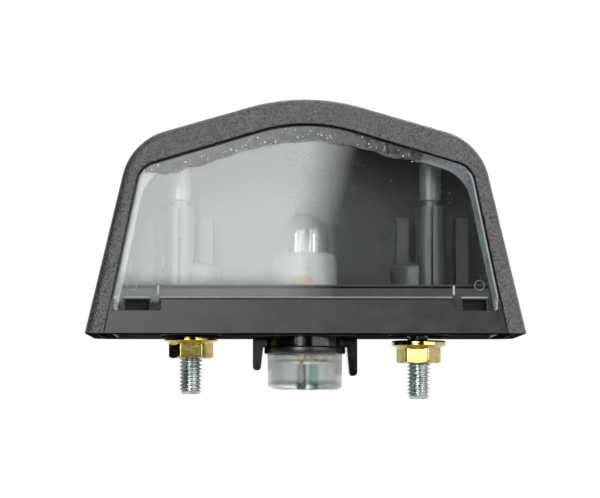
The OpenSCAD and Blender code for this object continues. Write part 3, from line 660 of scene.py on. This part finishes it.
def build_window_marks():
    """The mould's two round marks in the lower corners, and a short upright edge where each foot starts.

    The edge is a tube, thinner near its ends by the eighth power of the way from its middle.
    """
    mark_r, mark_line, mark_in = 1.0, 0.04, 2.1
    edge_r, edge_in, edge_deep, edge_steps = 0.24, 0.55, 0.12, 12
    front = FRONT_Y + LENS_RECESS
    mark_x = OPENING_HALF - STEP_HEIGHT * math.tan(OPENING_LEAN) - LEDGE_SIDE - mark_in
    for name, side in (("left", -1), ("right", 1)):
        # The marks are drawn in the same pale painted glow
        ring = front_ring(side * mark_x, STEP_HEIGHT - 0.2, front + 0.01, mark_r, mark_line)
        make_piece("window_mark_" + name, ring, quads(*ring.shape[:2], wrap_rows=True, wrap_columns=True),
                   [painted_glow])
        height = np.linspace(BAR_HEIGHT + 0.75, STEP_HEIGHT - 0.15, edge_steps)
        swell = edge_r * np.sqrt(np.clip(1 - (2 * (height - height.mean()) / np.ptp(height)) ** 8, 0.02, 1))
        path = np.stack([np.full(edge_steps, side * (FOOT_START + edge_in)),
                         np.full(edge_steps, front + edge_deep), height], -1)
        edge = path[:, None, :] + (tube(path, 1.0, 10) - path[:, None, :]) * swell[:, None, None]
        make_piece("window_foot_edge_" + name, edge, capped(edge), [edge_light])


def wander(along, seed, size):
    """A smooth uneven line: a few sines of seeded phase whose height falls with their number."""
    rng = np.random.default_rng(seed)
    count = np.arange(1, 9)
    phase = rng.uniform(0, 2 * math.pi, len(count))
    return size * np.sum(np.sin(along[:, None] * count * 2.2 + phase) / count ** 0.8, axis=1)


def build_weld_film():
    """The welded stretch along the window's top: a thin skin that lies on the window's front.

    Its upper line follows the opening's arch, and its lower line wanders under it.
    """
    line = opening_arch(LENS_GAP + 0.25)
    share = np.linspace(0, 1, 160)
    order = np.argsort(line[:, 0])
    order = order[line[order, 1] > ROOF_FROM]
    x = FILM_LEFT + (FILM_RIGHT - FILM_LEFT) * share
    top = np.interp(x, line[order, 0], line[order, 1])
    ends = np.clip(np.minimum(share, 1 - share) * 9, 0.05, 1) ** 0.5
    low = top - (FILM_DEEP + wander(share * 6, 3, 0.16)) * ends
    across = np.linspace(0, 1, 5)[None, :]
    height = top[:, None] + (low - top)[:, None] * across
    depth = np.full(height.shape, FRONT_Y + LENS_RECESS - FILM_PROUD)
    skin = np.stack([x[:, None] + 0 * across, depth, height], -1)
    ground = skin + np.array([0, FILM_THICK, 0])
    rings = np.concatenate([skin, ground[:, ::-1]], axis=1)
    make_piece("weld_film", rings, capped(rings), [welded])


def beads(centres, sizes, flat):
    """Points and faces of small flattened balls: sines and cosines of two angles, squeezed along Y."""
    long, wide = 6, 8
    up = np.linspace(0, math.pi, long)[:, None]
    turn = np.linspace(0, 2 * math.pi, wide, endpoint=False)[None, :]
    depth = flat * np.cos(up) + 0 * turn
    ball = np.stack([np.sin(up) * np.cos(turn), depth, np.sin(up) * np.sin(turn)], -1)
    points = centres[:, None, None, :] + sizes[:, None, None, None] * ball[None]
    starts = range(0, len(centres) * long * wide, long * wide)
    faces = [face for start in starts for face in quads(long, wide, wrap_columns=True, start=start)]
    return points, faces


def build_weld_specks():
    """Bubbles on the weld film, drops along the window's edge and dust behind it, at seeded places."""
    rng = np.random.default_rng(7)
    front = FRONT_Y + LENS_RECESS
    line = opening_arch(LENS_GAP)
    line = line[line[:, 1] > ROOF_FROM]
    x = rng.uniform(FILM_LEFT + 1, FILM_RIGHT - 1, FILM_SPECKS)
    below = rng.normal(1.9, 0.7, FILM_SPECKS).clip(0.4, 3.3)
    height = np.interp(x, line[::-1, 0], line[::-1, 1]) - below
    film = np.stack([x, np.full(FILM_SPECKS, front - SPECK_PROUD), height], -1)
    film_size = 0.05 + 0.14 * rng.random(FILM_SPECKS) ** 2
    spot = rng.integers(2, len(line) // 3, EDGE_DROPS)
    edge = np.stack([line[spot, 0], np.full(EDGE_DROPS, front + 0.5), line[spot, 1]], -1)
    edge[:, [0, 2]] += rng.uniform(-1, 1, (EDGE_DROPS, 2)) * np.array([0.9, 0.16]) - np.array([0.3, 0.42])
    edge_size = rng.uniform(0.035, 0.1, EDGE_DROPS)
    dust = np.stack([rng.uniform(-30, 32, DUST_GRAINS), np.full(DUST_GRAINS, POCKET_Y + 0.1),
                     rng.uniform(11, 33, DUST_GRAINS)], -1)
    dust_size = 0.025 + 0.1 * rng.random(DUST_GRAINS) ** 4
    centres = np.concatenate([film, edge, dust])
    points, faces = beads(centres, np.concatenate([film_size, edge_size, dust_size]), 0.5)
    # Every second bubble on the film is open and bright
    number = np.arange(len(centres))
    bright = (number < FILM_SPECKS) & (number % 2 == 0)
    kinds = np.repeat(bright.astype(int), len(faces) // len(centres))
    make_piece("weld_specks", points, faces, [speck, bubble], face_materials=kinds)


# Studs and nuts

def thread_radius(turn, height, pitch, major):
    """Radius of a rolled thread: flat crest, straight flanks and flat root, one pitch up for each turn."""
    phase = np.mod(height / pitch - turn / (2 * math.pi), 1.0)
    flank = np.clip((np.abs(phase - 0.5) - HALF_CREST) / THREAD_FLANK, 0, 1)
    return major / 2 - THREAD_DEEP * pitch * flank


def build_stud(name, side, drop):
    """A threaded shank as radius over angle and height, a cone at its tip and a six-sided head."""
    x = side * STUD_X
    low, high = -STUD_OUT - drop, HEAD_SEAT - drop
    turn = np.linspace(0, 2 * math.pi, 64, endpoint=False)[None, :]
    height = np.arange(low, high + 0.01, STUD_PITCH / 12)[:, None]
    radius = thread_radius(turn, height, STUD_PITCH, STUD_D)
    cone = STUD_D / 2 - STUD_TIP + (height - low)
    radius = np.minimum(radius, cone)
    rings = np.stack([x + radius * np.cos(turn), radius * np.sin(turn), height + 0 * turn], -1)
    make_piece(name + "_shank", rings, capped(rings), [zinc], [name], sharp=50)
    flats = np.mod(turn, math.pi / 3) - math.pi / 6
    hexagon = HEAD_FLATS / 2 / np.cos(flats)
    tall = np.array([0, 0.001, 0.6, 0.9, 1.0])[:, None] * HEAD_THICK
    limit = np.array([HEAD_FLATS / 2, 9, 9, 4.5, 4.1])[:, None]
    wide = np.minimum(hexagon, limit)
    head = np.stack([x + wide * np.cos(turn), wide * np.sin(turn), high + tall + 0 * turn], -1)
    make_piece(name + "_head", head, capped(head), [zinc], [name])


def build_nut(name, side, drop, turned):
    """A flange nut as radius over angle and height.

    Outside, the radius is the larger of the flange's own profile and the hexagon held under a chamfer cone.
    """
    x = side * STUD_X
    angle = np.linspace(0, 2 * math.pi, 240, endpoint=False)[None, :]
    flats = np.mod(angle - math.radians(turned), math.pi / 3) - math.pi / 6
    hexagon = np.minimum(NUT_FLATS / 2 / np.cos(flats), NUT_FLATS / 2 / math.cos(math.pi / 6) * 0.985)
    soft = FLANGE_ROUND
    edge = FLANGE_D / 2
    # Rows lie close together where the flange rolls into the hexagon and at the chamfer
    roll_end, chamfer_start = FLANGE_HIGH + 0.2, NUT_HIGH - 0.8
    depth = np.unique(np.concatenate([
        np.linspace(0, soft, 5), np.linspace(soft, FLANGE_EDGE, 4), np.linspace(FLANGE_EDGE, roll_end, 20),
        np.linspace(roll_end, chamfer_start, 4), np.linspace(chamfer_start, NUT_HIGH, 12)]))[:, None]
    rim = edge - soft + np.sqrt(np.clip(soft ** 2 - (soft - np.minimum(depth, soft)) ** 2, 0, None))
    roll = np.clip((depth - FLANGE_EDGE) / (FLANGE_HIGH - FLANGE_EDGE), 0, 1)
    flange = rim - (edge - NUT_FLATS / 2) * roll ** 0.8 - 2 * np.clip(depth - FLANGE_HIGH, 0, None)
    chamfer = NUT_FLATS / 2 + 0.05 + 1.7 * (NUT_HIGH - depth)
    outside = np.maximum(flange, np.minimum(hexagon, chamfer))
    bore, lead_in = STUD_D / 2 + 0.04, 0.4
    inside_rows = [(NUT_HIGH, bore + lead_in), (NUT_HIGH - lead_in, bore), (lead_in, bore),
                   (0, bore + lead_in)]
    inner = np.array([[r] * angle.shape[1] for _, r in inside_rows])
    inner_depth = np.array([[d] for d, _ in inside_rows])
    radius = np.concatenate([outside, inner])
    down = np.concatenate([depth, inner_depth])
    rings = np.stack([x + radius * np.cos(angle), radius * np.sin(angle), -drop - down + 0 * angle], -1)
    faces = quads(*rings.shape[:2], wrap_rows=True, wrap_columns=True)
    make_piece(name + "_forged", rings, faces, [yellow_zinc], [name], sharp=28)


# Bulb, holder and leads

def build_seal():
    """A ring with rounded edges: four quarter circles joined into a closed profile and turned."""
    low, high = (np.array(corner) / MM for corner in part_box("holder_seal"))
    outer, inner, r = high[0], 6.9, 0.35
    profile = np.concatenate([
        arc(outer - r, low[2] + r, r, -90, 0, 6), arc(outer - r, high[2] - r, r, 0, 90, 6),
        arc(inner + r, high[2] - r, r, 90, 180, 6), arc(inner + r, low[2] + r, r, 180, 270, 6)])
    rings = lathe(profile, steps=96)
    make_piece("seal_ring", rings, quads(*rings.shape[:2], wrap_rows=True, wrap_columns=True), [rubber],
               ["holder_seal"])


def build_bulb():
    """The glass is a profile turned about the bulb's axis: dome, straight wall and neck, then the inside.

    The dome is half an ellipse. The flat foot is a rounded bar under the neck.
    """
    r, t = BULB_D / 2, GLASS_THICK
    neck = WEDGE_TOP + CONE_LENGTH
    up = np.radians(np.linspace(0, 90, 24))
    outer_dome = np.stack([r * np.cos(up), BULB_TOP - DOME_HIGH + DOME_HIGH * np.sin(up)], -1)
    inner_dome = np.stack([(r - t) * np.cos(up), BULB_TOP - DOME_HIGH + (DOME_HIGH - t) * np.sin(up)], -1)
    outer = lathe(np.concatenate([
        [[0, WEDGE_TOP + 0.2], [WEDGE_THICK / 2, WEDGE_TOP + 0.2], [r - 0.5, neck - 0.5], [r, neck]],
        outer_dome]))
    inner = lathe(np.concatenate([
        [[0, neck - 0.2], [r - t - 1.2, neck - 0.2], [r - t, neck + 0.8]], inner_dome]))
    outer_faces = quads(*outer.shape[:2], wrap_columns=True)
    inner_faces = quads(*inner.shape[:2], wrap_columns=True, start=outer.shape[0] * outer.shape[1])
    points = np.concatenate([outer.reshape(-1, 3), inner.reshape(-1, 3)])
    face_kinds = [0] * len(outer_faces) + [1] * len(inner_faces)
    make_piece("bulb_envelope", points, outer_faces + inner_faces, [glass, glass],
               ["bulb_glass"], face_kinds, hollow=1)
    half_x, half_y, soft = WEDGE_WIDTH / 2, WEDGE_THICK / 2, WEDGE_ROUND
    corner = [(half_x - soft, half_y - soft, 0), (-half_x + soft, half_y - soft, 90),
              (-half_x + soft, -half_y + soft, 180), (half_x - soft, -half_y + soft, 270)]
    outline = np.concatenate([arc(cx, cy, soft, a, a + 90, 6) for cx, cy, a in corner])
    levels = [(BULB_LOW, 0.9), (BULB_LOW + 0.4, 1.0), (WEDGE_TOP - 1, 1.0), (WEDGE_TOP + 0.15, 0.8)]
    foot = np.stack([np.concatenate([outline * s, np.full((len(outline), 1), z)], -1) for z, s in levels])
    make_piece("bulb_foot", foot, capped(foot), [glass], ["bulb_glass"])


def build_filament():
    """A fine wire wound along a low arch between the two wires: a helix about a parabola."""
    turns, steps = 26, 14
    coil_r, wire_r = 0.13, 0.035
    share = np.linspace(0, 1, turns * steps)
    x = -WIRE_OUT + 2 * WIRE_OUT * share
    wind = 2 * math.pi * turns * share
    lift = 0.1 * (1 - (2 * share - 1) ** 2) - 0.05
    path = np.stack([x, coil_r * np.cos(wind), FILAMENT_Z + lift + coil_r * np.sin(wind)], -1)
    rings = tube(path, wire_r, 6)
    make_piece("filament_coil", rings, capped(rings), [tungsten], ["bulb_filament"])


def build_strands(name):
    """Seven strands, one in the middle and six wound round it along the lead's end."""
    low, high = (np.array(corner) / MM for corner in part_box(name))
    x, y = (low[0] + high[0]) / 2, (low[1] + high[1]) / 2
    strand, lay = CORE_D / 6, 9
    points, faces, start = [], [], 0
    z = np.linspace(low[2], high[2], 40)
    for k in range(7):
        out = 0.0 if k == 0 else 2 * strand
        wind = 2 * math.pi * (k / 6 + (z - low[2]) / lay)
        path = np.stack([x + out * np.cos(wind), y + out * np.sin(wind), z], -1)
        rings = tube(path, strand * 0.98, 8)
        points.append(rings.reshape(-1, 3))
        faces += capped(rings, start)
        start += rings.shape[0] * rings.shape[1]
    make_piece(name + "_strands", np.concatenate(points), faces, [copper], [name])


build_hood()
build_pegs()
build_window()
build_window_marks()
build_weld_film()
build_weld_specks()
build_stud("stud_left", -1, 0.0)
build_stud("stud_right", 1, RIGHT_DROP)
build_nut("nut_left", -1, 0.0, LEFT_NUT_TURN)
build_nut("nut_right", 1, RIGHT_DROP, RIGHT_NUT_TURN)
build_seal()
build_bulb()
build_filament()
build_strands("core_grey")
build_strands("core_green")

# Solids that keep their shape get their finish
KEPT = {
    "base": satin, "bulb_holder": milky, "bulb_wire_left": nickel, "bulb_wire_right": nickel,
    "terminal_grey": brass, "terminal_green": brass, "lead_grey": grey_cover, "lead_green": green_cover,
}
for node_name, material in KEPT.items():
    for mesh_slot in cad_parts[node_name].material_slots:
        mesh_slot.material = material


# Studio: pale floor, soft light from the front left, a dark room behind the camera

# In metres: the floor, half the room's width, where the room starts and ends in depth, and its ceiling
FLOOR_Z, FLOOR_HALF = -0.055, 3.0
ROOM_HALF, ROOM_FRONT, ROOM_BACK, ROOM_TOP = 2.4, -1.25, 2.0, 1.9
# The room's dark ground lies this far over the floor and ends at this depth, before the lamp
GROUND_LIFT, GROUND_BACK = 0.002, -0.12
WHITE = "#ffffff"


def stage_plane(name, corners, material, camera=True):
    """A flat card of the studio between four corners."""
    mesh = bpy.data.meshes.new(name)
    mesh.from_pydata(corners, [], [(0, 1, 2, 3)])
    mesh.materials.append(material)
    plane = bpy.data.objects.new(name, mesh)
    bpy.context.scene.collection.objects.link(plane)
    plane.visible_camera = camera
    return plane


def seen_directly(tree):
    """One for rays of the camera, of a mirror and through glass, nought for the rest."""
    path = add(tree, "ShaderNodeLightPath")
    seen = path.outputs["Is Camera Ray"]
    for ray in ("Is Glossy Ray", "Is Transmission Ray"):
        seen = add(tree, "ShaderNodeMath", {0: seen, 1: path.outputs[ray]}, operation="MAXIMUM")
    return seen


def floor_material():
    """White paint that stays white to the camera and to mirrors, with the lamp's shadow left in it."""
    material, tree, place = new_material("floor_white")
    paint = add(tree, "ShaderNodeBsdfDiffuse", {"Color": srgb("#cbcbcb")})
    glow = add(tree, "ShaderNodeEmission", {"Color": srgb(WHITE), "Strength": 1.08})
    away = add(tree, "ShaderNodeVectorMath", {0: place}, operation="LENGTH").outputs["Value"]
    whiter = add(tree, "ShaderNodeMapRange", {
        "Value": away, "From Min": 0.35, "From Max": 0.65, "To Min": 0.8, "To Max": 1.0})
    share = add(tree, "ShaderNodeMath", {0: seen_directly(tree), 1: whiter}, operation="MULTIPLY")
    both = add(tree, "ShaderNodeMixShader", {0: share, 1: paint, 2: glow})
    add(tree, "ShaderNodeOutputMaterial", {"Surface": both})
    return material


def panel_material(strength):
    """A soft light panel, dimmer along its foot, that fades to a faint glow on the right.

    From its middle up, the fade starts further out.
    """
    material, tree, place = new_material("soft_panel")
    parts = add(tree, "ShaderNodeSeparateXYZ", {"Vector": place}).outputs
    out = add(tree, "ShaderNodeMapRange", {
        "Value": parts["Z"], "From Min": 0.12, "From Max": 0.2, "To Min": 0.0, "To Max": 0.022})
    along = add(tree, "ShaderNodeMath", {0: parts["X"], 1: out}, operation="SUBTRACT")
    fade = add(tree, "ShaderNodeMapRange", {
        "Value": along, "From Min": 0.003, "From Max": 0.038, "To Min": strength, "To Max": 0.08})
    foot = add(tree, "ShaderNodeMapRange", {
        "Value": parts["Z"], "From Min": 0.082, "From Max": 0.09, "To Min": 0.5, "To Max": 1.0})
    level = add(tree, "ShaderNodeMath", {0: fade, 1: foot}, operation="MULTIPLY")
    glow = add(tree, "ShaderNodeEmission", {"Color": srgb("#fcffff"), "Strength": level})
    add(tree, "ShaderNodeOutputMaterial", {"Surface": glow})
    return material


def glow_material(name, strength, through=None):
    """A white light, with a strength of its own for what is seen and lit through glass."""
    material, tree, _ = new_material(name)
    if through is not None:
        passed = add(tree, "ShaderNodeLightPath").outputs["Is Transmission Ray"]
        strength = add(tree, "ShaderNodeMapRange", {
            "Value": passed, "To Min": strength, "To Max": through})
    glow = add(tree, "ShaderNodeEmission", {"Color": srgb(WHITE), "Strength": strength})
    add(tree, "ShaderNodeOutputMaterial", {"Surface": glow})
    return material


def dark_felt():
    """Black felt on the room's walls, ground and ceiling, which takes nearly all light."""
    material, tree, _ = new_material("room_dark")
    felt = add(tree, "ShaderNodeBsdfDiffuse", {"Color": srgb("#0d0d0d")})
    add(tree, "ShaderNodeOutputMaterial", {"Surface": felt})
    return material


def upright(name, first, second, low, high, material):
    """A card that stands between two points of the plan, seen by the object and not by the camera."""
    card = stage_plane(name, [(*first, low), (*second, low), (*second, high), (*first, high)], material,
                       camera=False)
    card.visible_shadow = False
    return card


def level_card(name, half, near, far, height, material, camera=False):
    """A card that lies level, half its width to each side, between two depths."""
    return stage_plane(name, [(-half, near, height), (half, near, height), (half, far, height),
                              (-half, far, height)], material, camera)


def aim(thing, place, target):
    """A lamp or camera at its place, tilted and then turned until its axis meets the target."""
    way = np.array(target) - np.array(place)
    thing.location = place
    thing.rotation_euler = (math.acos(-way[2] / np.linalg.norm(way)), 0.0,
                            math.atan2(way[1], way[0]) - math.pi / 2)


def build_studio():
    """White floor, dark room, soft boxes, two lamps and a white world."""
    level_card("floor", FLOOR_HALF, -FLOOR_HALF, FLOOR_HALF, FLOOR_Z, floor_material(), camera=True)
    dark = dark_felt()
    corner = (-ROOM_HALF, ROOM_FRONT)
    wall = upright("room_wall", corner, (ROOM_HALF, ROOM_FRONT), FLOOR_Z, ROOM_TOP, dark)
    ground = level_card("room_ground", ROOM_HALF, ROOM_FRONT, GROUND_BACK, FLOOR_Z + GROUND_LIFT, dark)
    side = upright("room_side", corner, (-ROOM_HALF, ROOM_BACK), FLOOR_Z, ROOM_TOP, dark)
    ceiling = level_card("room_ceiling", ROOM_HALF, ROOM_FRONT, ROOM_BACK, ROOM_TOP, dark)
    for card in (wall, ground, side, ceiling):
        card.visible_diffuse = False
        card.visible_shadow = False
    for card in (wall, ground):
        card.visible_transmission = False
    # Tall soft boxes: the window mirrors the first, glossy faces show the left one, which is dimmer through
    # glass, the far left one shows only through glass, and the right one only in round and slanted faces
    glow = glow_material("soft_light", 4.8)
    window_card = upright("soft_panel_window", (-0.16, -1.15), (0.43, -1.15), 0.07, 1.0,
                          panel_material(5.3))
    left_card = upright("soft_panel_left", (-0.62, -1.16), (-0.17, -1.16), 0.07, 0.9,
                        glow_material("side_light", 14.0, 6.5))
    far_card = upright("soft_panel_far_left", (-1.3, -1.17), (-0.63, -1.17), 0.07, 0.9,
                       glow_material("far_light", 0.0, 7.0))
    for card in (window_card, left_card, far_card):
        card.visible_diffuse = False
    upright("soft_panel_right", (0.45, -1.17), (1.175, -0.43), 0.03, 0.8, glow)
    upright("low_card", (-0.42, -1.14), (-0.15, -1.14), -0.05, 0.055, glow)

    world = bpy.data.worlds.new("studio_air")
    bpy.context.scene.world = world
    world.use_nodes = True
    tree = world.node_tree
    tree.nodes.clear()
    level = add(tree, "ShaderNodeMapRange", {"Value": seen_directly(tree), "To Min": 0.12, "To Max": 1.0})
    air = add(tree, "ShaderNodeBackground", {"Color": srgb(WHITE), "Strength": level})
    add(tree, "ShaderNodeOutputWorld", {"Surface": air})

    for name, place, size, power in (
        ("top", (0.0, 0.15, 0.9), 0.9, 6.5),
        ("back", (0.3, 1.1, 0.6), 0.9, 10.0),
    ):
        light = bpy.data.lights.new(name, "AREA")
        light.shape = "SQUARE"
        light.size = size
        light.energy = power
        lamp = bpy.data.objects.new(name, light)
        aim(lamp, place, (0.0, 0.0, 0.02))
        lamp.visible_camera = False
        bpy.context.scene.collection.objects.link(lamp)


def build_camera():
    """From the front, a little under the mounting face, as far off as the photo's perspective gives."""
    data = bpy.data.cameras.new("camera")
    data.sensor_fit = "HORIZONTAL"
    data.sensor_width = 36.0
    data.lens = 138.5
    camera = bpy.data.objects.new("camera", data)
    aim(camera, (-0.00707, -0.487, -0.020), (-0.00122, -0.016, 0.0172))
    bpy.context.scene.collection.objects.link(camera)
    bpy.context.scene.camera = camera


build_studio()
build_camera()
bpy.context.scene.view_settings.view_transform = "Standard"
